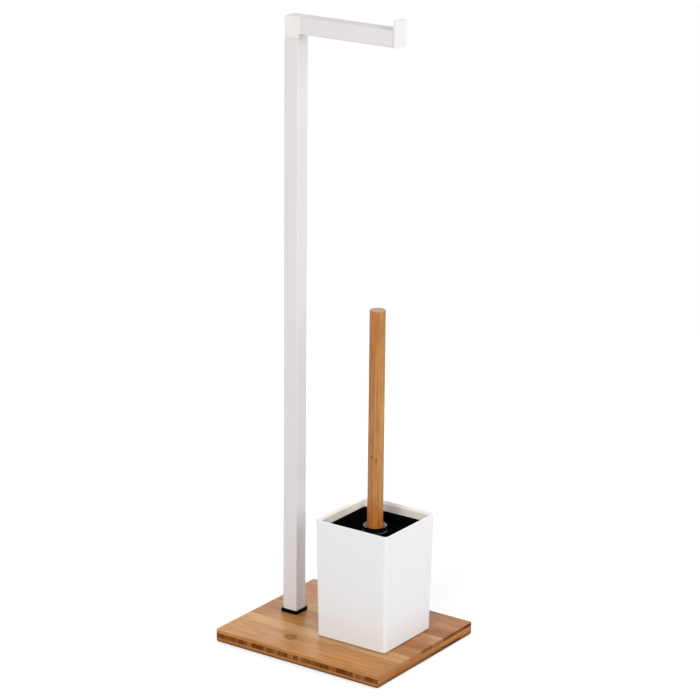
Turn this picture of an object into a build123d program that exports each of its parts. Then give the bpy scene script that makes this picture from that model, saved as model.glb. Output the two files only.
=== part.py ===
from build123d import *
import os

# Free-standing toilet brush set: a bamboo board carries a square post with a side arm for
# a paper roll, and a loose square cup that holds a brush with a round bamboo handle.
# Millimetres, +Z up. X runs along the board and the arm, Y across the board. The origin
# is on the floor, under the middle of the board.

# Board: three glued bamboo plies on four thin pads
board_length = 224.0
board_width = 191.0
top_ply = 4.0
core_ply = 5.5
bottom_ply = 5.5
board_corner = 3.0
board_arris = 0.9
board_underside_arris = 1.5
pad_thickness = 1.0
pad_diameter = 14.0
pad_inset = 17.0

# Square tube used for the post and, cut shorter, for the arm
tube_side = 19.0
tube_wall = 1.2
tube_corner = 1.6
post_length = 669.8
arm_length = 119.3
post_inset = 39.0
post_offset = 2.8

# Shoe at the foot of the post
shoe_rim_wall = 1.7
shoe_height = 4.0
shoe_floor = 1.5
shoe_corner = 2.0
shoe_arris = 0.5
pin_diameter = 3.0
pin_length = 3.5
pin_spacing = 14.0

# Plug in the foot of the post, with its nut, screw and washer
plug_length = 24.0
nut_pocket_depth = 7.0
nut_across_flats = 10.0
nut_height = 5.0
screw_diameter = 6.0
screw_stand_out = 1.8
screw_head_diameter = 11.5
screw_head_height = 3.4
screw_head_round = 0.8
screw_tip_bevel = 0.6
recess_width = 2.4
recess_length = 7.0
recess_depth = 1.8
washer_diameter = 16.0
washer_thickness = 1.2
counterbore_in_core = 1.5

# Elbow on top of the post, and the plate that closes the arm
elbow_height = 24.0
elbow_stub = 3.5
seam_bevel = 0.35
joint_land = 0.7         # what a tube's end rests on; it leaves a groove round the joint
land_inset = 0.8
post_spigot = 26.0
arm_spigot = 22.0
spigot_wall = 2.6
plate_thickness = 4.0
plate_rise = 10.0
plate_corner = 1.6
plate_arris = 0.6
plate_spigot = 16.0

# Cup: a square tapered beaker with a step inside that carries the brush's lid
cup_inset = 74.0
cup_offset = 3.8
cup_foot_side = 92.0
cup_rim_side = 97.4
cup_height = 140.5
cup_foot_corner = 3.6
cup_rim_corner = 5.4
cup_rim_wall = 2.8
cup_step_wall = 4.2      # just under the step
cup_wall = 3.6
cup_floor = 2.5
cup_foot_recess = 1.0
cup_foot_ring = 6.0
cup_foot_gap = 1.0        # height of the groove between the cup's wall and the board
cup_foot_inset = 3.2
cup_foot_round = 0.6
cup_rim_round = 0.5
cup_lip_wall = 1.2       # the bevel inside the rim leaves this at the top
cup_lip_height = 3.2
cup_inner_corner = 1.0    # the least that the inner corners are rounded

# Lid on the brush: a square tray that hangs by its flange on the cup's step
lid_depth = 11.5
lid_thickness = 2.5
lid_tray_depth = 6.0
lid_flange = 8.0
lid_corner = 4.0

# Handle, the socket that it stands in, the ring nut and the stud
handle_diameter = 18.0
handle_length = 277.0
handle_arris = 0.8
collar_diameter = 26.4
collar_height = 7.2
collar_ring_diameter = 27.8
collar_ring_height = 1.5
collar_ring_bevel = 0.4
collar_mouth_depth = 3.0
collar_lip = 0.6
socket_shank_diameter = 24.0
socket_shank_length = 21.0
socket_floor = 3.0
ring_nut_diameter = 34.0
ring_nut_height = 6.0
ring_nut_notches = 6
ring_nut_notch = 3.0
stud_diameter = 6.0
stud_in_handle = 30.0
stud_in_stem = 15.0

# Brush: neck, core and tufts
neck_diameter = 14.0
neck_waist = 11.0
neck_length = 18.0
neck_thread_diameter = 9.0
neck_thread_length = 12.0
core_diameter = 24.0
core_length = 50.0
core_shoulder = 3.0
tuft_diameter = 3.1
tuft_tip_diameter = 5.2
tuft_hole_depth = 4.0
tuft_rows = 8
tufts_per_row = 12
brush_diameter = 74.0
end_tuft_reach = 23.5          # from the dome's centre: the tuft in the middle,
inner_ring_reach = 27.0        # the ring round it
outer_ring_reach = 34.0        # and the ring next to the side tufts
inner_ring_tilt = 30.0
outer_ring_tilt = 60.0
inner_ring_tufts = 6
outer_ring_tufts = 10

# Clearances
fit = 0.05            # all round, between a plug or spigot and the tube it is pressed into
hole_clearance = 0.3  # on the radius of a hole that a screw or pin passes through
thread_clearance = 0.05
shoe_clearance = 0.1
lid_clearance = 0.5
nut_clearance = 0.1
socket_clearance = 0.1
end_gap = 0.2

# Levels, from the floor up
board_bottom = pad_thickness
core_bottom = board_bottom + bottom_ply
top_ply_bottom = core_bottom + core_ply
board_top = top_ply_bottom + top_ply
post_bottom = board_top + shoe_floor
post_top = post_bottom + post_length
elbow_bottom = post_top + joint_land
elbow_top = elbow_bottom + elbow_height
arm_axis_z = elbow_top - tube_side / 2
screw_seat = core_bottom + counterbore_in_core
nut_seat = post_bottom + plug_length - nut_pocket_depth
cup_rim = board_top + cup_height
wall_bottom = board_top + cup_foot_gap
cup_inner_floor = board_top + cup_foot_recess + cup_floor
lid_top = cup_rim - lid_depth
cup_step = lid_top - lid_thickness
cup_lip = cup_rim - cup_lip_height
tray_floor = lid_top - lid_tray_depth
tray_underside = tray_floor - lid_thickness
socket_bottom = tray_floor - socket_shank_length
handle_bottom = socket_bottom + socket_floor
core_top = socket_bottom - neck_length
dome_centre_z = core_top - core_length

# Places on the board
post_x = -board_length / 2 + post_inset
post_y = post_offset
stub_end = post_x + tube_side / 2 + elbow_stub
arm_start = stub_end + joint_land
plate_start = arm_start + arm_length + joint_land
cup_x = board_length / 2 - cup_inset
cup_y = cup_offset


def square_slab(side, corner, height):
    # rounded square standing on the origin
    return extrude(RectangleRounded(side, side, corner), height)


def square_tube(length):
    # tube standing on the origin, along +Z
    bore_side = tube_side - 2 * tube_wall
    bore = square_slab(bore_side, tube_corner - tube_wall, length)
    return square_slab(tube_side, tube_corner, length) - bore


def tube_filler(length):
    # block on the origin, along +Z, that is pressed into a tube's bore
    side = tube_side - 2 * tube_wall - 2 * fit
    return square_slab(side, tube_corner - tube_wall, length)


def spigot(length):
    # stands on the origin, on its land, and reaches the given length into a tube
    body = tube_filler(joint_land + length)
    body = chamfer(body.faces().sort_by(Axis.Z)[-1].edges(), seam_bevel)
    return body + square_slab(tube_side - 2 * land_inset, tube_corner - land_inset, joint_land)


def spigot_core(length):
    # what is cored out of a spigot, from its free end back
    side = tube_side - 2 * (tube_wall + fit + spigot_wall)
    return extrude(Rectangle(side, side), length)


def disc(diameter, height, bore=0.0):
    outline = Circle(diameter / 2)
    if bore:
        outline -= Circle(bore / 2)
    return extrude(outline, height)


# Board

def ply(bottom, thickness):
    outline = RectangleRounded(board_length, board_width, board_corner)
    return Pos(0, 0, bottom) * extrude(outline, thickness)


def post_hole(diameter, bottom, height):
    return Pos(post_x, post_y, bottom) * disc(diameter, height)


def top_board_ply():
    body = ply(top_ply_bottom, top_ply)
    body = fillet(body.faces().sort_by(Axis.Z)[-1].edges(), board_arris)
    body -= post_hole(screw_diameter + 2 * hole_clearance, top_ply_bottom, top_ply)
    for side in (-1, 1):
        pin = disc(pin_diameter + 2 * hole_clearance, top_ply)
        body -= Pos(post_x + side * pin_spacing / 2, post_y, top_ply_bottom) * pin
    return body


def core_board_ply():
    body = ply(core_bottom, core_ply)
    body -= post_hole(screw_diameter + 2 * hole_clearance, core_bottom, core_ply)
    counterbore = washer_diameter + 2 * hole_clearance
    return body - post_hole(counterbore, core_bottom, counterbore_in_core)


def bottom_board_ply():
    body = ply(board_bottom, bottom_ply)
    body = chamfer(body.faces().sort_by(Axis.Z)[0].edges(), board_underside_arris)
    return body - post_hole(washer_diameter + 2 * hole_clearance, board_bottom, bottom_ply)


def foot_pads():
    reach_x = board_length - 2 * pad_inset
    reach_y = board_width - 2 * pad_inset
    return [place * disc(pad_diameter, pad_thickness) for place in GridLocations(reach_x, reach_y, 2, 2)]


# Foot of the post

def post_shoe():
    outer_side = tube_side + 2 * (shoe_clearance + shoe_rim_wall)
    body = square_slab(outer_side, shoe_corner, shoe_height)
    body = chamfer(body.faces().sort_by(Axis.Z)[-1].edges(), shoe_arris)
    seat_side = tube_side + 2 * shoe_clearance
    body -= Pos(0, 0, shoe_floor) * square_slab(seat_side, tube_corner, shoe_height)
    for side in (-1, 1):
        body += Pos(side * pin_spacing / 2, 0, -pin_length) * disc(pin_diameter, pin_length)
    body -= disc(screw_diameter + 2 * hole_clearance, shoe_floor)
    return Pos(post_x, post_y, board_top) * body


def post_plug():
    body = tube_filler(plug_length)
    body -= disc(screw_diameter + 2 * hole_clearance, plug_length)
    pocket_width = nut_across_flats + 2 * nut_clearance
    pocket = extrude(hexagon(pocket_width), nut_pocket_depth)
    body -= Pos(0, 0, plug_length - nut_pocket_depth) * pocket
    return Pos(post_x, post_y, post_bottom) * body


def hexagon(across_flats):
    return RegularPolygon(across_flats / 2, 6, major_radius=False)


def plug_nut():
    body = extrude(hexagon(nut_across_flats), nut_height)
    body -= disc(screw_diameter + 2 * thread_clearance, nut_height)
    return Pos(post_x, post_y, nut_seat) * body


def post_screw():
    # pan head downwards with a cross recess, shank up to just past the nut
    head_seat = screw_seat - washer_thickness
    head = disc(screw_head_diameter, screw_head_height)
    head = fillet(head.faces().sort_by(Axis.Z)[0].edges(), screw_head_round)
    for turn in (0, 90):
        head -= extrude(SlotOverall(recess_length, recess_width, rotation=turn), recess_depth)
    shank = disc(screw_diameter, nut_seat + nut_height + screw_stand_out - head_seat)
    shank = chamfer(shank.faces().sort_by(Axis.Z)[-1].edges(), screw_tip_bevel)
    body = head + Pos(0, 0, screw_head_height) * shank
    return Pos(post_x, post_y, head_seat - screw_head_height) * body


def post_washer():
    body = disc(washer_diameter, washer_thickness, screw_diameter + 2 * hole_clearance)
    return Pos(post_x, post_y, screw_seat - washer_thickness) * body


def post_tube():
    return Pos(post_x, post_y, post_bottom) * square_tube(post_length)


# Head of the post

def along_arm(start):
    # turns a piece that stands along +Z to lie along +X from the given place
    return Pos(start, post_y, arm_axis_z) * Rot(0, 90, 0)


def elbow():
    # the block that caps the post and the stub that the arm butts against, one moulding
    block = extrude(Rectangle(tube_side, tube_side), elbow_height)
    stub = extrude(Rectangle(tube_side, tube_side), tube_side / 2 + elbow_stub)
    body = block + Pos(0, 0, elbow_height - tube_side / 2) * Rot(0, 90, 0) * stub
    under_stub = Vector(tube_side / 2, 0, elbow_height - tube_side)
    joints = [body.faces().sort_by(Axis.X)[-1], body.faces().sort_by(Axis.Z)[0]]
    kept_sharp = [edge.center() for face in joints for edge in face.edges()] + [under_stub]
    outer_edges = [edge for edge in body.edges()
                   if all((edge.center() - point).length > hole_clearance for point in kept_sharp)]
    body = fillet(outer_edges, tube_corner)
    body = chamfer(body.faces().sort_by(Axis.X)[-1].edges(), seam_bevel)
    body = chamfer(body.faces().sort_by(Axis.Z)[0].edges(), seam_bevel)
    body = Pos(post_x, post_y, elbow_bottom) * body
    down = Pos(post_x, post_y, elbow_bottom) * Rot(180, 0, 0)
    body += down * spigot(post_spigot)
    body += along_arm(stub_end) * spigot(arm_spigot)
    spigot_end = post_top - post_spigot
    cored_to = elbow_top - tube_wall - spigot_wall
    body -= Pos(post_x, post_y, spigot_end) * spigot_core(cored_to - spigot_end)
    return body - along_arm(post_x) * spigot_core(arm_start - post_x + arm_spigot)


def arm_tube():
    return along_arm(arm_start) * square_tube(arm_length)


def end_plate():
    height = tube_side + plate_rise
    centre_z = elbow_top - tube_side + height / 2
    plate = extrude(RectangleRounded(height, tube_side, plate_corner), plate_thickness)
    plate = fillet(plate.faces().sort_by(Axis.Z)[-1].edges(), plate_arris)
    plate = chamfer(plate.faces().sort_by(Axis.Z)[0].edges(), seam_bevel)
    body = Pos(plate_start, post_y, centre_z) * Rot(0, 90, 0) * plate
    inwards = Pos(plate_start, post_y, arm_axis_z) * Rot(0, -90, 0)
    return body + inwards * (spigot(plate_spigot) - spigot_core(joint_land + plate_spigot))


# Cup

def cup_side(level):
    # outer width of the cup at a height above the floor
    share = (level - board_top) / cup_height
    return cup_foot_side + (cup_rim_side - cup_foot_side) * share


def cup_corner(level):
    share = (level - board_top) / cup_height
    return cup_foot_corner + (cup_rim_corner - cup_foot_corner) * share


def cup_section(level, wall):
    side = cup_side(level) - 2 * wall
    corner = max(cup_corner(level) - wall, cup_inner_corner)
    return Pos(cup_x, cup_y, level) * RectangleRounded(side, side, corner)


def cup_block(low, high, low_wall, high_wall):
    return loft([cup_section(low, low_wall), cup_section(high, high_wall)], ruled=True)


def cup():
    body = cup_block(wall_bottom, cup_rim, 0, 0)
    body = fillet(body.faces().sort_by(Axis.Z)[0].edges(), cup_foot_round)
    body += extrude(cup_section(board_top, cup_foot_inset), cup_foot_gap)
    body -= cup_block(cup_inner_floor, cup_step, cup_wall, cup_step_wall)
    body -= cup_block(cup_step, cup_lip, cup_rim_wall, cup_rim_wall)
    body -= cup_block(cup_lip, cup_rim, cup_rim_wall, cup_lip_wall)
    body -= extrude(cup_section(board_top, cup_foot_ring), cup_foot_recess)
    rim_edges = body.faces().sort_by(Axis.Z)[-1].edges()
    return fillet(rim_edges, cup_rim_round)


# Lid, socket and handle, all on the cup's axis

def on_axis(level):
    return Pos(cup_x, cup_y, level)


def splash_lid():
    flange_side = cup_side(cup_step) - 2 * (cup_rim_wall + lid_clearance)
    tray_side = flange_side - 2 * lid_flange
    pocket_side = tray_side - 2 * lid_thickness
    pocket_corner = lid_corner - lid_thickness / 2
    body = on_axis(cup_step) * square_slab(flange_side, lid_corner, lid_thickness)
    body += on_axis(tray_underside) * square_slab(tray_side, lid_corner, cup_step - tray_underside)
    body -= on_axis(tray_floor) * square_slab(pocket_side, pocket_corner, lid_tray_depth)
    shank_hole = socket_shank_diameter + 2 * socket_clearance
    return body - on_axis(tray_underside) * disc(shank_hole, lid_thickness)


def handle_socket():
    shank = disc(socket_shank_diameter, socket_shank_length)
    collar_bottom = socket_shank_length
    ring = disc(collar_ring_diameter, collar_ring_height)
    ring = chamfer(ring.faces().sort_by(Axis.Z)[-1].edges(), collar_ring_bevel)
    body = shank + Pos(0, 0, collar_bottom) * ring
    body += Pos(0, 0, collar_bottom) * disc(collar_diameter, collar_height)
    bore = handle_diameter + 2 * socket_clearance
    total = collar_bottom + collar_height
    body -= Pos(0, 0, socket_floor) * disc(bore, total - socket_floor)
    mouth = Cone(bore / 2, collar_diameter / 2 - collar_lip, collar_mouth_depth,
                 align=(Align.CENTER, Align.CENTER, Align.MAX))
    body -= Pos(0, 0, total) * mouth
    body -= disc(stud_diameter + 2 * thread_clearance, socket_floor)
    return on_axis(socket_bottom) * body


def ring_nut():
    bore = socket_shank_diameter + 2 * thread_clearance
    body = disc(ring_nut_diameter, ring_nut_height, bore)
    notch = disc(ring_nut_notch, ring_nut_height)
    body -= [place * notch for place in PolarLocations(ring_nut_diameter / 2, ring_nut_notches)]
    return on_axis(tray_underside - ring_nut_height) * body


def handle():
    body = disc(handle_diameter, handle_length)
    body = fillet(body.faces().sort_by(Axis.Z)[-1].edges(), handle_arris)
    body -= disc(stud_diameter + 2 * thread_clearance, stud_in_handle + end_gap)
    return on_axis(handle_bottom) * body


def handle_stud():
    length = stud_in_handle + socket_floor + stud_in_stem
    return on_axis(socket_bottom - stud_in_stem) * disc(stud_diameter, length)


# Brush

def brush_neck():
    # drawn on XZ from the threaded end up, then turned about Z
    waist_top = neck_length / 2
    points = [
        (0, -neck_thread_length), (neck_thread_diameter / 2, -neck_thread_length),
        (neck_thread_diameter / 2, 0), (neck_waist / 2, 0), (neck_waist / 2, neck_length / 4),
        (neck_diameter / 2, waist_top), (neck_diameter / 2, neck_length), (0, neck_length)]
    body = revolve(Plane.XZ * make_face(Polyline(*points, close=True)), Axis.Z)
    hole = disc(stud_diameter + 2 * thread_clearance, stud_in_stem + end_gap)
    body -= Pos(0, 0, neck_length - stud_in_stem - end_gap) * hole
    return on_axis(core_top) * body


def side_tuft_places():
    # each place has +Z pointing outwards from the core's axis
    places = []
    row_pitch = (core_length - core_shoulder) / tuft_rows
    for row in range(tuft_rows):
        level = dome_centre_z + row_pitch * (row + 0.5)
        for index in range(tufts_per_row):
            turn = 360 / tufts_per_row * (index + 0.5 * (row % 2))
            places.append(on_axis(level) * Rot(0, 0, turn) * Rot(0, 90, 0))
    return places


def end_tuft_places(tilt, count):
    # a ring of places on the dome, with +Z pointing out and down
    down = Rot(0, 180 - tilt, 0)
    return [on_axis(dome_centre_z) * Rot(0, 0, 360 / count * index) * down for index in range(count)]


# each ring of end tufts: its tilt from straight down, how many tufts, and how far they reach
end_tuft_rings = [
    (0.0, 1, end_tuft_reach),
    (inner_ring_tilt, inner_ring_tufts, inner_ring_reach),
    (outer_ring_tilt, outer_ring_tufts, outer_ring_reach),
]


def brush_core():
    radius = core_diameter / 2
    body = disc(core_diameter, core_length)
    body = chamfer(body.faces().sort_by(Axis.Z)[-1].edges(), core_shoulder)
    body += Sphere(radius)
    bore = neck_thread_diameter + 2 * thread_clearance
    depth = neck_thread_length + end_gap
    body -= Pos(0, 0, core_length - depth) * disc(bore, depth)
    body = on_axis(dome_centre_z) * body
    hole = Pos(0, 0, radius - tuft_hole_depth) * disc(tuft_diameter + 2 * fit, 2 * tuft_hole_depth)
    places = side_tuft_places()
    for tilt, count, reach in end_tuft_rings:
        places += end_tuft_places(tilt, count)
    return body - [place * hole for place in places]


def tuft(reach):
    # straight inside its hole, then spreading out to its tip
    surface = core_diameter / 2
    start = surface - tuft_hole_depth + end_gap
    root = tuft_diameter / 2
    points = [(0, start), (root, start), (root, surface), (tuft_tip_diameter / 2, reach), (0, reach)]
    return revolve(Plane.XZ * make_face(Polyline(*points, close=True)), Axis.Z)


def side_tufts():
    return [place * tuft(brush_diameter / 2) for place in side_tuft_places()]


def end_tufts():
    return [place * tuft(reach) for tilt, count, reach in end_tuft_rings
            for place in end_tuft_places(tilt, count)]


pieces = {
    "base_top_ply": top_board_ply,
    "base_core_ply": core_board_ply,
    "base_bottom_ply": bottom_board_ply,
    "foot_pads": foot_pads,
    "post_shoe": post_shoe,
    "post_plug": post_plug,
    "plug_nut": plug_nut,
    "post_screw": post_screw,
    "post_washer": post_washer,
    "post_tube": post_tube,
    "head_elbow": elbow,
    "arm_tube": arm_tube,
    "end_plate": end_plate,
    "cup": cup,
    "splash_lid": splash_lid,
    "handle_socket": handle_socket,
    "lid_ring_nut": ring_nut,
    "handle": handle,
    "handle_stud": handle_stud,
    "brush_neck": brush_neck,
    "brush_core": brush_core,
    "side_tufts": side_tufts,
    "end_tufts": end_tufts,
}

os.makedirs("parts", exist_ok=True)
for name, make in pieces.items():
    shape = make()
    if isinstance(shape, list):
        shape = Compound(children=shape)
    export_step(shape, f"parts/{name}.step")
    print(name, len(shape.solids()), "solid(s)")
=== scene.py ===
import math
import random

import bpy
from mathutils import Matrix, Quaternion, Vector


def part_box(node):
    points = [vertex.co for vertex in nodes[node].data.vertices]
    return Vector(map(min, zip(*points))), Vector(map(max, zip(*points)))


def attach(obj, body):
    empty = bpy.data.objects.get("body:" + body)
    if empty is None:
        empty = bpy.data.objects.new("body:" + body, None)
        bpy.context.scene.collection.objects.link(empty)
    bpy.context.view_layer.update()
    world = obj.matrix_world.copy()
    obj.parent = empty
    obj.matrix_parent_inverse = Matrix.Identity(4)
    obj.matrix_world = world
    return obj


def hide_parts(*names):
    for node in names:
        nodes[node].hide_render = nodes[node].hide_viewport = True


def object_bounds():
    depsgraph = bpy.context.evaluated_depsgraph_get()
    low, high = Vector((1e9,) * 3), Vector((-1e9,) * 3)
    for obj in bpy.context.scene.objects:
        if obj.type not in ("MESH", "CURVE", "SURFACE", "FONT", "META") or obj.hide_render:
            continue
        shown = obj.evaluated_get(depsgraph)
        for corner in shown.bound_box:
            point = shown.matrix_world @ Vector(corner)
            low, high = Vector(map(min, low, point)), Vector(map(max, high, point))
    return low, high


# Toilet brush set: bamboo board, white square post with a side arm, white cup and the brush
# that stands in it. Everything is in metres; names that end in Mm are millimetres.

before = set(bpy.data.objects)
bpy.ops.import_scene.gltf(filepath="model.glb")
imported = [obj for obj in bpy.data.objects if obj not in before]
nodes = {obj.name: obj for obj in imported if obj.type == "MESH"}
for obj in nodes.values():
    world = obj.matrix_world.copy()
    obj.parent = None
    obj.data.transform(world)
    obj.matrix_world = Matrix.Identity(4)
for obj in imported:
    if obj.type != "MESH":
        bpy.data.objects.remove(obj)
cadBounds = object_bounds()
print("frame loaded:", len(nodes), "pieces")


def hexColour(code):
    # sRGB hex to the linear colour that a shader takes
    channels = [int(code[i:i + 2], 16) / 255 for i in (1, 3, 5)]
    linear = [c / 12.92 if c <= 0.04045 else ((c + 0.055) / 1.055) ** 2.4 for c in channels]
    return (*linear, 1.0)


def grey(level):
    # a plain level, in linear light
    return (level, level, level, 1.0)


def fill(material, node, inputs):
    # gives each input its value, or the output of another node
    for socket, value in inputs.items():
        if isinstance(value, bpy.types.NodeSocket):
            material.node_tree.links.new(value, node.inputs[socket])
        else:
            node.inputs[socket].default_value = value


def addNode(material, kind, inputs, stops=None, **settings):
    # adds one node with its settings and links, and hands back its outputs
    node = material.node_tree.nodes.new("ShaderNode" + kind)
    for name, value in settings.items():
        setattr(node, name, value)
    fill(material, node, inputs)
    if stops:
        ramp = node.color_ramp
        ramp.interpolation = stops["blend"]
        while len(ramp.elements) < len(stops["colours"]):
            ramp.elements.new(1.0)
        for element, (place, colour) in zip(ramp.elements, stops["colours"]):
            element.position = place
            element.color = colour
    return node.outputs


def startMaterial(name):
    # a new material, its main shader, and the place on the piece in millimetres
    material = bpy.data.materials.new(name)
    material.use_nodes = True
    shader = material.node_tree.nodes["Principled BSDF"]
    place = addNode(material, "TexCoord", {})["Object"]
    place = addNode(material, "VectorMath", {0: place, "Scale": 1000.0}, operation="SCALE")["Vector"]
    return material, shader, place


def direction(turn, height):
    # the way to a lamp or the camera: degrees round the object from its front, and up from level
    turn, height = math.radians(turn), math.radians(height)
    level = math.cos(height)
    return Vector((math.sin(turn) * level, -math.cos(turn) * level, math.sin(height)))


def dress(material, *names):
    # gives the material to pieces that keep the shape they come with
    for name in names:
        nodes[name].material_slots[0].material = material


powderCoat = {
    "colour": "#DDDADB",
    "thin": "#D7D3D4",           # where the coat is a little thinner
    "thinMm": 45.0,              # how far apart such places lie
    "peelMm": 1.3,               # from crest to crest of the orange peel
    "peelHeightMm": 0.05,
    "roughness": (0.46, 0.54),   # in its hollows and on its crests
    "shine": 0.2,                # specular level
}


def powderCoatedSteel():
    # polyester powder sprayed on drawn tube and baked: an even satin white whose fine orange
    # peel breaks up the edge of every highlight
    material, shader, place = startMaterial("white_powder_coated_steel")
    peel = addNode(material, "TexNoise", {
        "Vector": place, "Scale": 1 / powderCoat["peelMm"], "Detail": 1.5, "Roughness": 0.4})["Fac"]
    thin = addNode(material, "TexNoise", {
        "Vector": place, "Scale": 1 / powderCoat["thinMm"], "Detail": 2.0})["Fac"]
    colour = addNode(material, "MixRGB", {
        "Fac": thin, "Color1": hexColour(powderCoat["colour"]),
        "Color2": hexColour(powderCoat["thin"])})
    low, high = powderCoat["roughness"]
    rough = addNode(material, "MapRange", {"Value": peel, "To Min": low, "To Max": high})
    bump = addNode(material, "Bump", {
        "Height": peel, "Strength": 0.25, "Distance": powderCoat["peelHeightMm"] * 0.001})
    fill(material, shader, {
        "Base Color": colour["Color"], "Roughness": rough["Result"], "Normal": bump["Normal"],
        "IOR": 1.5, "Specular IOR Level": powderCoat["shine"]})
    return material


mouldedWhite = {
    "colour": "#E6E3E1",
    "shade": "#E0DDDB",
    "flowMm": 14.0,              # soft clouds left by the flow of the melt
    "sparkMm": 0.6,              # grit of the eroded mould face, coarser than the real 0.2 mm
    "sparkHeightMm": 0.03,
    "roughness": (0.44, 0.56),
    "shine": 0.25,
}


def mouldedWhiteAbs():
    # ABS, injection moulded in a spark-eroded mould: whiter than the tube, with a dull fine grain
    material, shader, place = startMaterial("white_moulded_abs")
    grit = addNode(material, "TexNoise", {
        "Vector": place, "Scale": 1 / mouldedWhite["sparkMm"], "Detail": 2.0})["Fac"]
    flow = addNode(material, "TexNoise", {
        "Vector": place, "Scale": 1 / mouldedWhite["flowMm"], "Detail": 1.0})["Fac"]
    colour = addNode(material, "MixRGB", {
        "Fac": flow, "Color1": hexColour(mouldedWhite["colour"]),
        "Color2": hexColour(mouldedWhite["shade"])})
    low, high = mouldedWhite["roughness"]
    rough = addNode(material, "MapRange", {"Value": grit, "To Min": low, "To Max": high})
    bump = addNode(material, "Bump", {
        "Height": grit, "Strength": 0.15, "Distance": mouldedWhite["sparkHeightMm"] * 0.001})
    fill(material, shader, {
        "Base Color": colour["Color"], "Roughness": rough["Result"], "Normal": bump["Normal"],
        "IOR": 1.53, "Specular IOR Level": mouldedWhite["shine"]})
    return material


glossyCup = {
    "colour": "#E6E7E9",
    "warm": "#E4E4E6",
    "inside": "#EAE5DD",         # the inner walls, painted creamier and lighter than the outside as painted warm bounce light
    "lipLight": "#F4F2F1",            # painted light: the top of the inner walls is painted brighter
    "lipMm": 3.4,
    "flowMm": 38.0,              # slow waves that cooling leaves in a flat wall
    "flowHeightMm": 0.6,
    "grainMm": 1.6,
    "roughness": (0.27, 0.35),
    "shine": 0.3,
}


def outwardness(material, place, middle):
    # how far each face looks away from the cup's middle: 1 outside, 0 on top, -1 inside
    away = addNode(material, "VectorMath", {
        0: place, 1: (middle.x, middle.y, 0.0)}, operation="SUBTRACT")["Vector"]
    away = addNode(material, "VectorMath", {
        0: away, 1: (1.0, 1.0, 0.0)}, operation="MULTIPLY")["Vector"]
    away = addNode(material, "VectorMath", {0: away}, operation="NORMALIZE")["Vector"]
    normal = addNode(material, "TexCoord", {})["Normal"]
    return addNode(material, "VectorMath", {0: away, 1: normal}, operation="DOT_PRODUCT")["Value"]


def glossyMouldedCup():
    # polypropylene moulded against a polished core: clean white, soft gloss, and walls that are
    # never quite flat, so reflections drift slowly across them
    material, shader, place = startMaterial("white_moulded_polypropylene")
    wave = addNode(material, "TexNoise", {
        "Vector": place, "Scale": 1 / glossyCup["flowMm"], "Detail": 1.0, "Roughness": 0.3})["Fac"]
    grain = addNode(material, "TexNoise", {
        "Vector": place, "Scale": 1 / glossyCup["grainMm"], "Detail": 2.0})["Fac"]
    tone = addNode(material, "MixRGB", {
        "Fac": wave, "Color1": hexColour(glossyCup["colour"]),
        "Color2": hexColour(glossyCup["warm"])})["Color"]

    low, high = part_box("cup")
    outward = outwardness(material, place, (low + high) / 2 * 1000)
    # the inner walls, with their painted warm bounce light
    inside = addNode(material, "MapRange", {
        "Value": outward, "From Min": -0.1, "From Max": -0.3, "To Min": 0.0, "To Max": 1.0})
    tone = addNode(material, "MixRGB", {
        "Fac": inside["Result"], "Color1": tone, "Color2": hexColour(glossyCup["inside"])})["Color"]

    # the top few millimetres, all but the outer faces, carry the painted light of the lip
    lipFoot = high.z * 1000 - glossyCup["lipMm"]
    height = addNode(material, "SeparateXYZ", {"Vector": place})["Z"]
    lipLight = addNode(material, "MapRange", {
        "Value": height, "From Min": lipFoot - 0.4, "From Max": lipFoot})["Result"]
    top = addNode(material, "MapRange", {
        "Value": outward, "From Min": 0.6, "From Max": 0.2, "To Min": 0.0, "To Max": 1.0})["Result"]
    lipLight = addNode(material, "Math", {0: lipLight, 1: top}, operation="MULTIPLY")["Value"]
    tone = addNode(material, "MixRGB", {
        "Fac": lipLight, "Color1": tone, "Color2": hexColour(glossyCup["lipLight"])})["Color"]

    smooth, dull = glossyCup["roughness"]
    rough = addNode(material, "MapRange", {"Value": grain, "To Min": smooth, "To Max": dull})
    bump = addNode(material, "Bump", {
        "Height": wave, "Strength": 0.35, "Distance": glossyCup["flowHeightMm"] * 0.001})
    fill(material, shader, {
        "Base Color": tone, "Roughness": rough["Result"], "Normal": bump["Normal"],
        "IOR": 1.49, "Specular IOR Level": glossyCup["shine"],
        "Subsurface Weight": 0.06, "Subsurface Radius": (0.004, 0.003, 0.0025),
        "Subsurface Scale": 1.0})
    return material


dress(powderCoatedSteel(), "post_tube", "arm_tube")
dress(mouldedWhiteAbs(), "head_elbow", "end_plate")
dress(glossyMouldedCup(), "cup")
print("white pieces dressed")


blackPlastic = {
    "colour": "#050506",
    "worn": "#0B0B0C",
    "wornMm": 18.0,
    "grainMm": 0.8,
    "grainHeightMm": 0.04,
    # least and most roughness, and specular level
    "satin": (0.49, 0.63, 0.0),  # the lid drinks the light
    "gloss": (0.16, 0.3, 1.0),   # the collar has a polished lip
    "dull": (0.49, 0.63, 0.03),
}


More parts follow.
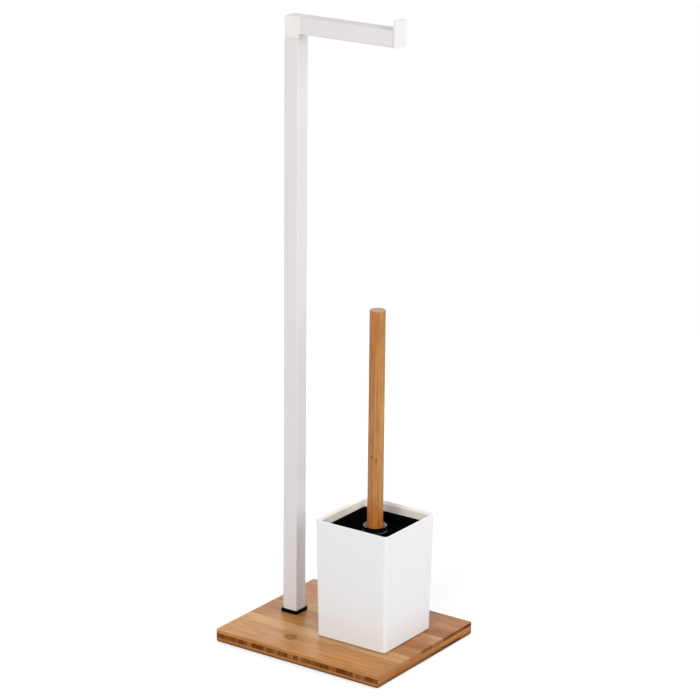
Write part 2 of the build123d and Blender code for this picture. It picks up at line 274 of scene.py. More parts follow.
def mouldedBlack(name, finish):
    # polypropylene coloured through with carbon black: it swallows nearly all light, and only
    # its edges and rounded lips catch a highlight
    material, shader, place = startMaterial(name)
    grain = addNode(material, "TexNoise", {
        "Vector": place, "Scale": 1 / blackPlastic["grainMm"], "Detail": 3.0})["Fac"]
    worn = addNode(material, "TexNoise", {
        "Vector": place, "Scale": 1 / blackPlastic["wornMm"], "Detail": 2.0})["Fac"]
    colour = addNode(material, "MixRGB", {
        "Fac": worn, "Color1": hexColour(blackPlastic["colour"]),
        "Color2": hexColour(blackPlastic["worn"])})
    low, high, shine = blackPlastic[finish]
    rough = addNode(material, "MapRange", {"Value": grain, "To Min": low, "To Max": high})
    bump = addNode(material, "Bump", {
        "Height": grain, "Strength": 0.12, "Distance": blackPlastic["grainHeightMm"] * 0.001})
    fill(material, shader, {
        "Base Color": colour["Color"], "Roughness": rough["Result"], "Normal": bump["Normal"],
        "IOR": 1.49, "Specular IOR Level": shine})
    return material


nylonPlug = {
    "colour": "#7E8083",
    "fleck": "#A9ABAD",
    "fleckMm": 0.5,
    "fleckHeightMm": 0.05,
}


def filledNylon():
    # nylon with a third of glass fibre: dull grey with short pale flecks
    material, shader, place = startMaterial("grey_moulded_glass_filled_nylon")
    fleck = addNode(material, "TexNoise", {
        "Vector": place, "Scale": 1 / nylonPlug["fleckMm"], "Detail": 4.0})["Fac"]
    colour = addNode(material, "ValToRGB", {"Fac": fleck}, stops={"blend": "LINEAR", "colours": [
        (0.35, hexColour(nylonPlug["colour"])), (0.72, hexColour(nylonPlug["fleck"]))]})
    bump = addNode(material, "Bump", {
        "Height": fleck, "Strength": 0.2, "Distance": nylonPlug["fleckHeightMm"] * 0.001})
    fill(material, shader, {
        "Base Color": colour["Color"], "Roughness": 0.55, "Normal": bump["Normal"], "IOR": 1.53})
    return material


dress(mouldedBlack("black_moulded_polypropylene_satin", "satin"), "splash_lid")
dress(mouldedBlack("black_moulded_polypropylene_gloss", "gloss"),
      "handle_socket", "lid_ring_nut", "brush_neck", "brush_core")
dress(mouldedBlack("black_moulded_polypropylene_dull", "dull"), "post_shoe")
dress(filledNylon(), "post_plug")
print("dark plastic dressed")


zincPlate = {
    "tones": ["#B9BCC2", "#C9C7BE", "#BDBFC8"],    # bluish, yellowish, bluish again
    "bloomMm": 4.0,
    "ringMm": 0.9,               # turning marks, drawn coarser than the real 0.2 mm
    "ringHeightMm": 0.03,
    "roughness": (0.26, 0.4),
}


def zincPlatedSteel():
    # turned and pressed steel, bright zinc plated: pale metal with turning marks and a faint
    # yellow and blue bloom from the passivation bath
    material, shader, place = startMaterial("zinc_plated_steel")
    bloom = addNode(material, "TexNoise", {
        "Vector": place, "Scale": 1 / zincPlate["bloomMm"], "Detail": 3.0})["Fac"]
    rings = addNode(material, "TexWave", {
        "Vector": place, "Scale": 1 / zincPlate["ringMm"], "Distortion": 1.5, "Detail": 2.0},
        wave_type="RINGS", rings_direction="Z")["Fac"]
    tones = [hexColour(tone) for tone in zincPlate["tones"]]
    colour = addNode(material, "ValToRGB", {"Fac": bloom}, stops={
        "blend": "LINEAR", "colours": list(zip((0.3, 0.5, 0.7), tones))})
    low, high = zincPlate["roughness"]
    rough = addNode(material, "MapRange", {"Value": rings, "To Min": low, "To Max": high})
    bump = addNode(material, "Bump", {
        "Height": rings, "Strength": 0.15, "Distance": zincPlate["ringHeightMm"] * 0.001})
    fill(material, shader, {
        "Base Color": colour["Color"], "Metallic": 1.0, "Roughness": rough["Result"],
        "Normal": bump["Normal"]})
    return material


footFoam = {
    # painted shade: the hollow of each cell is darker than its skin
    "cellShade": "#B9B8B4",
    "skin": "#D6D5D1",
    "cellMm": 0.5,
    "cellHeightMm": 0.1,
}


def foamPad():
    # closed-cell EVA foam, die cut: pale, matt, with cells about half a millimetre wide
    material, shader, place = startMaterial("die_cut_eva_foam")
    cells = addNode(material, "TexVoronoi", {
        "Vector": place, "Scale": 1 / footFoam["cellMm"]})["Distance"]
    # painted shade in the cells' hollows, following the same cells as the bump
    colour = addNode(material, "ValToRGB", {"Fac": cells}, stops={"blend": "LINEAR", "colours": [
        (0.1, hexColour(footFoam["cellShade"])), (0.6, hexColour(footFoam["skin"]))]})
    bump = addNode(material, "Bump", {
        "Height": cells, "Strength": 0.4, "Distance": footFoam["cellHeightMm"] * 0.001})
    fill(material, shader, {
        "Base Color": colour["Color"], "Roughness": 0.85, "Normal": bump["Normal"], "IOR": 1.45})
    return material


dress(zincPlatedSteel(), "plug_nut", "post_screw", "post_washer", "handle_stud")
dress(foamPad(), "foot_pads")
print("hardware dressed")


bamboo = {
    "fibre": "#9C6636",          # what a bundle of dark fibres multiplies its strip's tone by
    "pith": "#FFE2B8",           # paler matter between the bundles
    "roughness": 0.42,
    "endRoughness": 0.8,         # cut ends drink the lacquer and stay dull
    "shine": 0.08,               # specular level of the thin satin lacquer
    "fibreHeightMm": 0.08,
    "poreMm": 0.85,              # cut fibre bundles on the ends
    "undersideShade": "#8A8C98",      # painted shade, laid over the underside and the lowest edge of the board
    "undersideShadeMm": 2.4,               # how far the painted shade runs up the sides
    "glue": "#7A4A26",
    "glueMm": 0.35,              # glue line between strips
    "blockSide": "#B67E43",      # side of the core's last strip, seen on the board's short edges
    "layersMm": (1.3, 14.0),     # layers that stand upright in the core's cut ends
    "shift": 40.0,               # how far apart in the noise the grain of two strips can lie
}

# what runs along the grain, the finest last: width and length in mm, then the noise level where
# it starts, the level where it is full and how deep it is there, and how it is laid over the tone
streaks = {
    "cloud": ((9.0, 30.0), (0.4, 0.62, 0.2), "MULTIPLY"),      # soft mottle
    "broad": ((6.0, 220.0), (0.4, 0.62, 0.18), "MULTIPLY"),    # drifts from heart to bark
    "grain": ((1.7, 120.0), (0.42, 0.66, 0.22), "MULTIPLY"),   # close bundles, read as one line
    "pith": ((1.7, 45.0), (0.52, 0.7, 0.2), "OVERLAY"),        # pale matter between them
    "fibre": ((0.55, 45.0), (0.48, 0.74, 0.5), "MULTIPLY"),    # coarser than the real 0.3 mm
}

# where the culm had a node its strip shows an eye of short crossed fibres
knuckle = {
    "colour": "#85481E",
    "halfMm": (9.5, 8.5),        # half its length and half its width
    "bendMm": 9.0,               # it is a little crooked: how far apart the bends lie
    "bendReachMm": 5.0,          # and how far they reach
    "patchMm": 6.0,              # and it is broken up
    "depth": [(0.0, 0.5), (0.3, 0.6), (0.58, 1.0), (1.0, 0.0)],    # from the middle to the rim
}

# the board's top and bottom plies, strip by strip from the front edge back: width in mm, tone at
# the left end and at the right, tone of the cut end, and where along X its knuckle is, if any;
# on the top ply the paler left end is partly the wood's own tone and partly painted sheen
topStrips = [
    (20.5, "#DCA25E", "#C48D56", "#AD7745", None),
    (22.0, "#D69C5F", "#C38E57", "#AD7848", -29),
    (22.0, "#E6B277", "#D4AA79", "#AB7A4B", 128),
    (21.5, "#D0934C", "#B6875A", "#A77042", 66),
    (22.0, "#B7793F", "#B07D54", "#834E23", None),
    (22.0, "#C6944F", "#C19568", "#98653F", -101),
    (22.5, "#C88A49", "#A3693F", "#774420", 96),
    (21.5, "#BB794B", "#B38358", "#804D2B", None),
    (17.0, "#C18554", "#AF7E53", "#603114", 12),
]
bottomStrips = [
    (18.0, "#B67C48", "#B4793F", "#945F34", None),
    (24.0, "#B37C48", "#AE7844", "#8D5527", 40),
    (27.0, "#B67E4A", "#B67E4A", "#8F5C2B", None),
    (31.0, "#B0763F", "#AA713C", "#8F5828", -70),
    (29.0, "#A87040", "#A87040", "#814C22", None),
    (36.0, "#A46C3C", "#9E683A", "#763F1B", 20),
    (26.0, "#B58252", "#B58252", "#936130", None),
]

# the core's strips run across the board, from the left: width in mm and the tone of its cut end
coreTones = {
    "burnt": "#753F1B",
    "dark": "#854E25",
    "brown": "#8B5427",
    "amber": "#986033",
    "tan": "#9D6A3D",
    "pale": "#A67044",
    "straw": "#B27A49",
}
coreStrips = [
    (9, "dark"), (11, "brown"), (8, "brown"), (4, "amber"), (12, "dark"), (6, "tan"),
    (18, "burnt"), (4, "amber"), (8, "dark"), (8, "amber"), (12, "dark"), (8, "pale"),
    (8, "brown"), (4, "straw"), (26, "brown"), (12, "dark"), (10, "amber"), (12, "burnt"),
    (10, "brown"), (10, "tan"), (8, "pale"), (12, "dark"), (4, "dark"),
]


def stripEdges(strips):
    # where each strip starts, as a share of the width that all of them take
    total = sum(strip[0] for strip in strips)
    return [sum(strip[0] for strip in strips[:index]) / total for index in range(len(strips))]


def stripStops(strips, values):
    # ramp stops that give each strip its own value
    return {"blend": "CONSTANT", "colours": list(zip(stripEdges(strips), values))}


def drawnStreaks(material, place, along, size, shift, reach):
    # noise drawn out along one axis (0 X, 1 Y, 2 Z), with the size and reach given for streaks
    scale = [1 / size[0]] * 3
    scale[along] = 1 / size[1]
    drawn = addNode(material, "VectorMath", {0: place, 1: scale}, operation="MULTIPLY")["Vector"]
    noise = addNode(material, "TexNoise", {
        "Vector": drawn, "W": shift, "Scale": 1.0, "Detail": 2.5, "Roughness": 0.55,
        "Distortion": 0.15}, noise_dimensions="4D")["Fac"]
    start, full, depth = reach
    return addNode(material, "MapRange", {
        "Value": noise, "From Min": start, "From Max": full, "To Max": depth})["Result"]


def bambooGrain(material, place, tone, seed, along):
    # lays every kind of streak over a tone, and hands it back with the last, the fibres; the seed,
    # from 0 to 1, makes each strip's grain its own
    shift = addNode(material, "Math", {
        0: seed, 1: bamboo["shift"]}, operation="MULTIPLY")["Value"]
    for kind, (size, reach, how) in streaks.items():
        streak = drawnStreaks(material, place, along, size, shift, reach)
        over = bamboo["pith"] if kind == "pith" else bamboo["fibre"]
        tone = addNode(material, "MixRGB", {
            "Fac": streak, "Color1": tone, "Color2": hexColour(over)}, blend_type=how)["Color"]
    return tone, streak


def cutEnds(material, place, tone):
    # the cut ends: dark dots of fibre bundle in paler pith
    pores = addNode(material, "TexVoronoi", {
        "Vector": place, "Scale": 1 / bamboo["poreMm"]})["Distance"]
    dots = addNode(material, "MapRange", {
        "Value": pores, "From Min": 0.18, "From Max": 0.5, "To Min": 0.45, "To Max": 0.0})["Result"]
    return addNode(material, "MixRGB", {
        "Fac": dots, "Color1": tone, "Color2": hexColour(bamboo["fibre"])},
        blend_type="MULTIPLY")["Color"]


def facing(material, axis):
    # 1 where the surface looks along an axis, 0 where it looks across it
    normal = addNode(material, "TexCoord", {})["Normal"]
    part = addNode(material, "SeparateXYZ", {"Vector": normal})["XYZ"[axis]]
    size = addNode(material, "Math", {0: part}, operation="ABSOLUTE")["Value"]
    return addNode(material, "MapRange", {"Value": size, "From Min": 0.6, "From Max": 0.75})["Result"]


def finishBamboo(material, shader, place, colour, fibre, ends, endTone):
    # lays the cut ends and the painted shade of the underside and bottom edge over the faces; all of
    # it is sanded and thinly lacquered, so the fibres stand a hair proud and shine a little less
    colour = addNode(material, "MixRGB", {
        "Fac": ends, "Color1": colour, "Color2": cutEnds(material, place, endTone)})["Color"]
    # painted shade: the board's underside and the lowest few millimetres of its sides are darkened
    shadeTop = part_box("base_bottom_ply")[0].z * 1000 + bamboo["undersideShadeMm"]
    height = addNode(material, "SeparateXYZ", {"Vector": place})["Z"]
    shadeMask = addNode(material, "MapRange", {
        "Value": height, "From Min": shadeTop + 0.3, "From Max": shadeTop - 0.3,
        "To Min": 0.0, "To Max": 1.0})["Result"]
    colour = addNode(material, "MixRGB", {
        "Fac": shadeMask, "Color1": colour, "Color2": hexColour(bamboo["undersideShade"])},
        blend_type="MULTIPLY")["Color"]
    dull = addNode(material, "MapRange", {
        "Value": ends, "To Min": bamboo["roughness"], "To Max": bamboo["endRoughness"]})["Result"]
    rough = addNode(material, "MapRange", {"Value": fibre, "To Min": -0.06, "To Max": 0.1})["Result"]
    rough = addNode(material, "Math", {0: dull, 1: rough}, operation="ADD")["Value"]
    bump = addNode(material, "Bump", {
        "Height": fibre, "Strength": 0.25, "Distance": bamboo["fibreHeightMm"] * 0.001})
    fill(material, shader, {
        "Base Color": colour, "Roughness": rough, "Normal": bump["Normal"], "IOR": 1.5,
        "Specular IOR Level": bamboo["shine"]})


def knuckleEyes(material, place, strips, perStrip, length, width):
    # how strong the knuckle's colour is: full near its rim, less in its middle, none around it
    axes = addNode(material, "SeparateXYZ", {"Vector": place})
    total = sum(strip[0] for strip in strips)
    # a strip that has no knuckle gets one a board's length away
    along = [grey(0.0 if s[4] is None else (s[4] + length) / (2 * length)) for s in strips]
    along = addNode(material, "MapRange", {
        "Value": perStrip(along), "To Min": -length, "To Max": length})["Result"]
    across = [grey(edge + s[0] / 2 / total) for edge, s in zip(stripEdges(strips), strips)]
    across = addNode(material, "MapRange", {
        "Value": perStrip(across), "To Min": -width / 2, "To Max": width / 2})["Result"]
    bend = addNode(material, "TexNoise", {
        "Vector": place, "Scale": 1 / knuckle["bendMm"], "Detail": 2.0})["Fac"]
    reach = knuckle["bendReachMm"]
    bend = addNode(material, "MapRange", {"Value": bend, "To Min": -reach, "To Max": reach})["Result"]
    offset = addNode(material, "Math", {0: axes["X"], 1: along}, operation="SUBTRACT")["Value"]
    offset = addNode(material, "Math", {0: offset, 1: bend}, operation="ADD")["Value"]
    aside = addNode(material, "Math", {0: axes["Y"], 1: across}, operation="SUBTRACT")["Value"]
    away = addNode(material, "CombineXYZ", {"X": offset, "Y": aside})["Vector"]
    halfLength, halfWidth = knuckle["halfMm"]
    away = addNode(material, "VectorMath", {
        0: away, 1: (1 / halfLength, 1 / halfWidth, 0.0)}, operation="MULTIPLY")["Vector"]
    away = addNode(material, "VectorMath", {0: away}, operation="LENGTH")["Value"]
    eye = addNode(material, "ValToRGB", {"Fac": away}, stops={
        "blend": "LINEAR", "colours": [(share, grey(level)) for share, level in knuckle["depth"]]})
    patches = addNode(material, "TexNoise", {
        "Vector": place, "Scale": 1 / knuckle["patchMm"], "Detail": 2.0})["Fac"]
    patches = addNode(material, "MapRange", {
        "Value": patches, "From Min": 0.32, "From Max": 0.6, "To Min": 0.45, "To Max": 1.0})
    return addNode(material, "Math", {
        0: eye["Color"], 1: patches["Result"]}, operation="MULTIPLY")["Value"]


def glueLines(material, share, strips):
    # the glue shows as a hairline from strip to strip
    half = bamboo["glueMm"] / 2 / sum(strip[0] for strip in strips)
    lines = [(0.0, grey(0.0))]
    for edge in stripEdges(strips)[1:]:
        lines.append((edge - half, grey(1.0)))
        lines.append((edge + half, grey(0.0)))
    glue = addNode(material, "ValToRGB", {"Fac": share}, stops={
        "blend": "CONSTANT", "colours": lines})["Color"]
    return addNode(material, "Math", {0: glue, 1: 0.6}, operation="MULTIPLY")["Value"]


def stripBoard(name, strips):
    # split culms planed to strips and glued edge to edge, sanded and lacquered: every strip has
    # its own tone that drifts along it, and its cut ends are darker than its face; on the top ply the
    # paler left end is partly the wood's own tone and partly painted sheen
    material, shader, place = startMaterial(name)
    low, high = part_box("base_top_ply")    # the plies have one outline
    width = (high.y - low.y) * 1000
    length = (high.x - low.x) * 1000
    axes = addNode(material, "SeparateXYZ", {"Vector": place})
    share = addNode(material, "MapRange", {
        "Value": axes["Y"], "From Min": -width / 2, "From Max": width / 2})["Result"]
    along = addNode(material, "MapRange", {
        "Value": axes["X"], "From Min": -length / 2, "From Max": length / 2})["Result"]

    def perStrip(values):
        stops = stripStops(strips, values)
        return addNode(material, "ValToRGB", {"Fac": share}, stops=stops)["Color"]

    # the sides keep the right end's tone all along, since the paler left end is partly painted sheen
    # for the top face
    side = addNode(material, "Math", {0: 1.0, 1: facing(material, 2)}, operation="SUBTRACT")["Value"]
    along = addNode(material, "Math", {0: along, 1: side}, operation="MAXIMUM")["Value"]
    tone = addNode(material, "MixRGB", {
        "Fac": along, "Color1": perStrip([hexColour(s[1]) for s in strips]),
        "Color2": perStrip([hexColour(s[2]) for s in strips])})["Color"]
    seed = perStrip([grey(0.1 + 0.8 * index / len(strips)) for index in range(len(strips))])
    colour, fibre = bambooGrain(material, place, tone, seed, 0)
    eye = knuckleEyes(material, place, strips, perStrip, length, width)
    colour = addNode(material, "MixRGB", {
        "Fac": eye, "Color1": colour, "Color2": hexColour(knuckle["colour"])})["Color"]
    glue = glueLines(material, share, strips)
    colour = addNode(material, "MixRGB", {
        "Fac": glue, "Color1": colour, "Color2": hexColour(bamboo["glue"])})["Color"]
    endTone = perStrip([hexColour(s[3]) for s in strips])
    finishBamboo(material, shader, place, colour, fibre, facing(material, 0), endTone)
    return material


def crossCore():
    # the middle ply, steamed darker and laid across the board: the long edges show the strips'
    # cut ends as dark blocks, the short edges show one strip's side
    material, shader, place = startMaterial("lacquered_bamboo_cross_core")
    low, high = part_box("base_core_ply")
    length = (high.x - low.x) * 1000
    axes = addNode(material, "SeparateXYZ", {"Vector": place})
    share = addNode(material, "MapRange", {
        "Value": axes["X"], "From Min": -length / 2, "From Max": length / 2})["Result"]
    tones = [hexColour(coreTones[tone]) for _, tone in coreStrips]
    endTone = addNode(material, "ValToRGB", {"Fac": share}, stops=stripStops(coreStrips, tones))
    layers = drawnStreaks(material, place, 2, bamboo["layersMm"], 0.0, (0.44, 0.6, 0.75))
    endTone = addNode(material, "MixRGB", {
        "Fac": layers, "Color1": endTone["Color"], "Color2": hexColour(bamboo["fibre"])},
        blend_type="MULTIPLY")["Color"]
    colour, fibre = bambooGrain(material, place, hexColour(bamboo["blockSide"]), 0.35, 1)
    finishBamboo(material, shader, place, colour, fibre, facing(material, 1), endTone)
    return material


handleWood = {
    "tones": ["#B8845A", "#BF8550", "#C58F56", "#BD8951", "#BD8B57", "#BB8A54"],
    "turn": 35.0,                # degrees, how the glued layers lie round the handle's axis
    "top": "#CAAFA0",
    "foot": "#FFDCA0",           # laid over the last stretch above the collar, which is yellower
    "footMm": 42.0,
    # two short scars of a side shoot: degrees round the handle and height above the floor
    "scars": [(1.5, 229.0), (37.0, 225.5)],
    "scarMm": (1.7, 3.6),        # half their width and height
}


def turnedBamboo():
    # a blank glued from flat layers, turned round, sanded and lacquered: straight bands run its
    # whole length and the top shows pale cut fibre
    material, shader, place = startMaterial("lacquered_bamboo_turned_handle")
    low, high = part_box("handle")
    middle = (low + high) / 2 * 1000
    radius = (high.x - low.x) / 2 * 1000
    turn = math.radians(handleWood["turn"])
    across = addNode(material, "VectorMath", {
        0: place, 1: (middle.x, middle.y, 0.0)}, operation="SUBTRACT")["Vector"]
    across = addNode(material, "VectorMath", {
        0: across, 1: (math.cos(turn), math.sin(turn), 0.0)}, operation="DOT_PRODUCT")["Value"]
    share = addNode(material, "MapRange", {
        "Value": across, "From Min": -radius, "From Max": radius})["Result"]
    layers = [(1.0, tone) for tone in handleWood["tones"]]
    tones = [hexColour(tone) for tone in handleWood["tones"]]
    tone = addNode(material, "ValToRGB", {"Fac": share}, stops=stripStops(layers, tones))["Color"]
    colour, fibre = bambooGrain(material, place, tone, 0.6, 2)

    height = addNode(material, "SeparateXYZ", {"Vector": place})["Z"]
    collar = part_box("handle_socket")[1].z * 1000
    foot = addNode(material, "MapRange", {
        "Value": height, "From Min": collar, "From Max": collar + handleWood["footMm"],
        "To Min": 1.0, "To Max": 0.0})["Result"]
    colour = addNode(material, "MixRGB", {
        "Fac": foot, "Color1": colour, "Color2": hexColour(handleWood["foot"])},
        blend_type="MULTIPLY")["Color"]

    wide, tall = handleWood["scarMm"]
    for turned, level in handleWood["scars"]:
        side = direction(turned, 0.0) * radius
        away = addNode(material, "VectorMath", {
            0: place, 1: (middle.x + side.x, middle.y + side.y, level)}, operation="SUBTRACT")
        away = addNode(material, "VectorMath", {
            0: away["Vector"], 1: (1 / wide, 1 / wide, 1 / tall)}, operation="MULTIPLY")
        away = addNode(material, "VectorMath", {0: away["Vector"]}, operation="LENGTH")["Value"]
        scar = addNode(material, "MapRange", {
            "Value": away, "From Min": 0.2, "From Max": 1.0, "To Min": 0.85, "To Max": 0.0})["Result"]
        colour = addNode(material, "MixRGB", {
            "Fac": scar, "Color1": colour, "Color2": hexColour(knuckle["colour"])})["Color"]

    top = addNode(material, "MixRGB", {
        "Fac": 0.8, "Color1": tone, "Color2": hexColour(handleWood["top"])})["Color"]
    finishBamboo(material, shader, place, colour, fibre, facing(material, 2), top)
    return material


dress(stripBoard("lacquered_bamboo_top_ply", topStrips), "base_top_ply")
dress(stripBoard("lacquered_bamboo_bottom_ply", bottomStrips), "base_bottom_ply")
dress(crossCore(), "base_core_ply")
dress(turnedBamboo(), "handle")
print("bamboo dressed")


bristles = {
    "rows": 8,
    "tuftsPerRow": 12,
    "endRings": [(0.0, 1, 23.5), (30.0, 6, 27.0), (60.0, 10, 34.0)],  # tilt, count, reach in mm
    "shoulderMm": 3.0,           # bare bevel at the top of the core
    "perTuft": 30,
    "thickMm": 0.42,             # thicker than the real 0.3 mm, so that fewer fill the tuft
    "taper": 0.35,               # how much thinner the tip is, as a share
    "rootDepthMm": 2.0,          # how deep it sits in the core
    "rootMm": 1.35,              # radius of a tuft where it leaves the core
    "tipMm": 2.5,                # and at its tip
    "flare": 1.5,                # above 1 it opens out late
    "crimpMm": 0.22,             # height of the crimp's waves
    "crimpLengthMm": 5.5,
    "ragMm": 1.2,                # how unevenly the tips are trimmed
    "seed": 7,
    "joints": 10,                # points along each bristle
    "shade": "#DCDDDB",
    "light": "#F1F2F0",
    "cloudMm": 2.5,
    "roughness": (0.3, 0.42),
}


def tuftPlaces():
    # each tuft's place on the core as a matrix with +Z along the tuft, and its reach in metres
    low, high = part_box("brush_core")
    radius = (high.x - low.x) / 2
    axis = (low + high) / 2
    dome = low.z + radius
    reach = (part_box("side_tufts")[1].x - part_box("side_tufts")[0].x) / 2
    pitch = (high.z - dome - bristles["shoulderMm"] * 0.001) / bristles["rows"]
    found = []
    for row in range(bristles["rows"]):
        centre = Matrix.Translation((axis.x, axis.y, dome + pitch * (row + 0.5)))
        for index in range(bristles["tuftsPerRow"]):
            turn = math.tau / bristles["tuftsPerRow"] * (index + 0.5 * (row % 2))
            aim = Matrix.Rotation(turn, 4, "Z") @ Matrix.Rotation(math.pi / 2, 4, "Y")
            found.append((centre @ aim, reach))
    for tilt, count, ringReach in bristles["endRings"]:
        for index in range(count):
            aim = Matrix.Rotation(math.tau / count * index, 4, "Z")
            aim = aim @ Matrix.Rotation(math.pi - math.radians(tilt), 4, "Y")
            found.append((Matrix.Translation((axis.x, axis.y, dome)) @ aim, ringReach * 0.001))
    return found, radius


def growBristle(verts, faces, place, start, reach, rng):
    # one crimped bristle, a three-sided tube that thins towards its tip
    angle = rng.random() * math.tau
    spread = math.sqrt(rng.random())
    side = Vector((math.cos(angle), math.sin(angle), 0))
    wave = Vector((math.cos(angle * 5), math.sin(angle * 5), 0))    # each is crimped its own way
    phase = rng.random() * math.tau
    end = reach - rng.random() * bristles["ragMm"] * 0.001
    thick = bristles["thickMm"] * 0.0005    # its radius, in metres
    count = bristles["joints"]
    first = len(verts)
    for step in range(count):
        share = step / (count - 1)
        height = start + (end - start) * share
        opened = share ** bristles["flare"]
        radius = bristles["rootMm"] + (bristles["tipMm"] - bristles["rootMm"]) * opened
        swing = math.sin(height * 1000 / bristles["crimpLengthMm"] * math.tau + phase)
        line = side * spread * radius * 0.001 + wave * swing * bristles["crimpMm"] * 0.001 * share
        for corner in range(3):
            turn = corner * math.tau / 3
            rim = Vector((math.cos(turn), math.sin(turn), 0)) * thick
            rim = rim * (1.0 - bristles["taper"] * share)
            verts.append(place @ (line + rim + Vector((0, 0, height))))
    for step in range(count - 1):
        for corner in range(3):
            a, b = first + step * 3 + corner, first + step * 3 + (corner + 1) % 3
            faces.append((a, b, b + 3, a + 3))
    faces.append((first + 2, first + 1, first))
    last = first + (count - 1) * 3
    faces.append((last, last + 1, last + 2))


def crimpedPolypropylene():
    # extruded and crimped filament, cut from a hank: milky white, a little glassy along its side
    material, shader, place = startMaterial("white_extruded_polypropylene_filament")
    cloud = addNode(material, "TexNoise", {
        "Vector": place, "Scale": 1 / bristles["cloudMm"], "Detail": 2.0})["Fac"]
    colour = addNode(material, "ValToRGB", {"Fac": cloud}, stops={"blend": "LINEAR", "colours": [
        (0.3, hexColour(bristles["shade"])), (0.7, hexColour(bristles["light"]))]})
    low, high = bristles["roughness"]
    rough = addNode(material, "MapRange", {"Value": cloud, "To Min": low, "To Max": high})
    fill(material, shader, {
        "Base Color": colour["Color"], "Roughness": rough["Result"], "IOR": 1.49})
    return material


def plantBristles():
    rng = random.Random(bristles["seed"])
    verts, faces = [], []
    places, coreRadius = tuftPlaces()
    start = coreRadius - bristles["rootDepthMm"] * 0.001
    for place, reach in places:
        for _ in range(bristles["perTuft"]):
            growBristle(verts, faces, place, start, reach, rng)
    mesh = bpy.data.meshes.new("brush_bristles")
    mesh.from_pydata([tuple(v) for v in verts], [], faces)
    mesh.shade_smooth()
    piece = bpy.data.objects.new("brush_bristles", mesh)
    bpy.context.scene.collection.objects.link(piece)
    mesh.materials.append(crimpedPolypropylene())
    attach(piece, "brush")
    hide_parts("side_tufts", "end_tufts")
    print("bristles planted:", len(places) * bristles["perTuft"])


plantBristles()


studio = {
    "floor": "#C4C4C4",
    "floorSize": 2.6,
    "toothMm": 0.7,              # the paper's tooth
    "toothHeightMm": 0.05,
    # what the camera sees on top of the floor's own light, beside the board, some way off and
    # at the floor's edge, so that it reads as white paper and still shows the soft shadow
    "floorGlow": (0.59, 0.49, 0.64),
    "glowBeside": 1.5,           # the first fades out at this many times half the board
    "glowFromMm": 300.0,         # the last starts to rise here, measured from the board's middle
    "sky": 0.45,                 # light from all round
    # turn round the object and height in degrees, distance in m, width in m, watts
    "lamps": {
        "front_softbox": (12.0, 20.0, 2.6, 1.4, 40.5),
        "side_softbox": (90.0, 20.0, 2.6, 1.4, 18.5),
        "right_softbox": (127.0, 20.0, 2.6, 1.4, 25.8),
        "left_softbox": (-70.0, 20.0, 2.6, 1.4, 4.0),
        "back_softbox": (230.0, 50.0, 2.6, 1.4, 10.5),
        "sheen_softbox": (217.0, -2.0, 1.0, 0.3, 1.0),
    },
}

camera = {
    "turn": 34.914,              # degrees round the object from its front
    "height": 17.392,            # degrees above level
    "roll": 0.544,
    "distance": 3.2417,
    "lens": 146.02,              # on a 36 mm sensor
    "aimMm": (-50.41, 78.05, -44.5),    # from the middle of the object
}


def seenWhite(material):
    # 1 for what the camera sees directly, in a reflection or through glass
    rays = addNode(material, "LightPath", {})
    seen = addNode(material, "Math", {
        0: rays["Is Camera Ray"], 1: rays["Is Glossy Ray"]}, operation="MAXIMUM")["Value"]
    return addNode(material, "Math", {
        0: seen, 1: rays["Is Transmission Ray"]}, operation="MAXIMUM")["Value"]


def floorGlow(material, place):
    # the three levels of studio["floorGlow"], from the board out to the floor's edge
    close, near, far = studio["floorGlow"]
    edge = studio["floorSize"] / 2 * 1000
    away = addNode(material, "VectorMath", {0: place}, operation="LENGTH")["Value"]
    glow = addNode(material, "MapRange", {
        "Value": away, "From Min": studio["glowFromMm"], "From Max": edge,
        "To Min": near, "To Max": far})["Result"]
    half = (cadBounds[1] - cadBounds[0]) * 500    # half the board, in millimetres
    past = addNode(material, "VectorMath", {
        0: place, 1: (1 / half.x, 1 / half.y, 0.0)}, operation="MULTIPLY")["Vector"]
    past = addNode(material, "VectorMath", {0: past}, operation="ABSOLUTE")["Vector"]
    past = addNode(material, "SeparateXYZ", {"Vector": past})
    past = addNode(material, "Math", {0: past["X"], 1: past["Y"]}, operation="MAXIMUM")["Value"]
    beside = addNode(material, "MapRange", {
        "Value": past, "From Min": 1.0, "From Max": studio["glowBeside"],
        "To Min": close - near, "To Max": 0.0})["Result"]
    return addNode(material, "Math", {0: glow, 1: beside}, operation="ADD")["Value"]


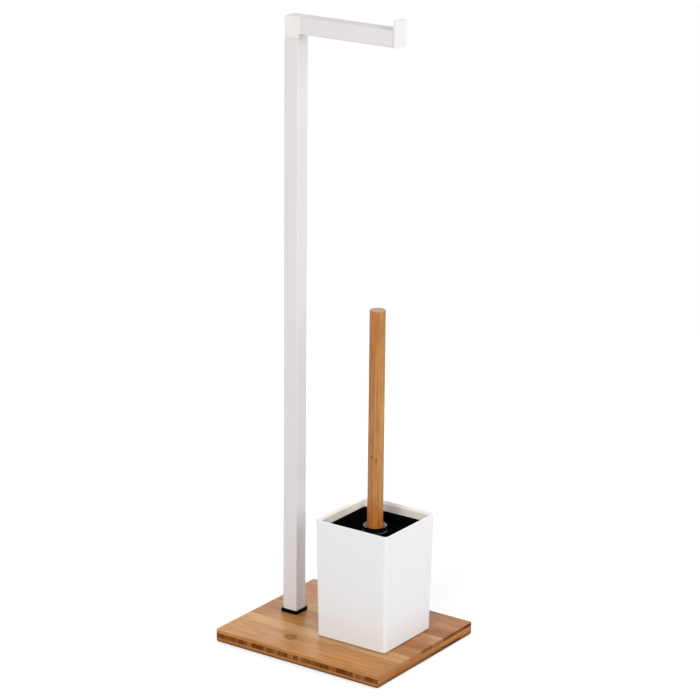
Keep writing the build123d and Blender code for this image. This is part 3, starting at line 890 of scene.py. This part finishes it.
def buildFloor():
    # matt seamless paper
    mesh = bpy.data.meshes.new("studio_floor")
    edge = studio["floorSize"] / 2
    corners = [(-edge, -edge, 0), (edge, -edge, 0), (edge, edge, 0), (-edge, edge, 0)]
    mesh.from_pydata(corners, [], [(0, 1, 2, 3)])
    floor = bpy.data.objects.new("studio_floor", mesh)
    bpy.context.scene.collection.objects.link(floor)
    material, shader, place = startMaterial("seamless_paper")
    tooth = addNode(material, "TexNoise", {
        "Vector": place, "Scale": 1 / studio["toothMm"], "Detail": 2.0})["Fac"]
    bump = addNode(material, "Bump", {
        "Height": tooth, "Strength": 0.05, "Distance": studio["toothHeightMm"] * 0.001})
    glow = addNode(material, "Math", {
        0: seenWhite(material), 1: floorGlow(material, place)}, operation="MULTIPLY")["Value"]
    fill(material, shader, {
        "Base Color": hexColour(studio["floor"]), "Roughness": 0.9, "Specular IOR Level": 0.0,
        "Normal": bump["Normal"], "Emission Color": grey(1.0), "Emission Strength": glow})
    mesh.materials.append(material)


def buildWorld():
    world = bpy.data.worlds.new("studio")
    bpy.context.scene.world = world
    world.use_nodes = True
    level = addNode(world, "MapRange", {
        "Value": seenWhite(world), "To Min": studio["sky"], "To Max": 1.0})["Result"]
    fill(world, world.node_tree.nodes["Background"], {"Color": grey(1.0), "Strength": level})


def buildLamps(middle):
    for name, (turn, height, distance, width, watts) in studio["lamps"].items():
        data = bpy.data.lights.new(name, "AREA")
        data.shape = "SQUARE"
        data.size = width
        data.energy = watts
        lamp = bpy.data.objects.new(name, data)
        towards = direction(turn, height)
        lamp.location = middle + towards * distance
        lamp.rotation_euler = towards.to_track_quat("Z", "Y").to_euler()
        lamp.visible_camera = False
        bpy.context.scene.collection.objects.link(lamp)


def buildCamera(middle):
    data = bpy.data.cameras.new("camera")
    data.sensor_width = 36.0
    data.lens = camera["lens"]
    data.clip_end = 50.0
    view = bpy.data.objects.new("camera", data)
    towards = direction(camera["turn"], camera["height"])
    aim = middle + Vector(camera["aimMm"]) * 0.001
    level = towards.to_track_quat("Z", "Y")
    view.rotation_mode = "QUATERNION"
    view.rotation_quaternion = level @ Quaternion((0, 0, 1), math.radians(camera["roll"]))
    view.location = aim + towards * camera["distance"]
    bpy.context.scene.collection.objects.link(view)
    bpy.context.scene.camera = view


objectMiddle = (cadBounds[0] + cadBounds[1]) / 2
buildFloor()
buildWorld()
buildLamps(objectMiddle)
buildCamera(objectMiddle)
bpy.context.scene.view_settings.view_transform = "Standard"
print("studio built")
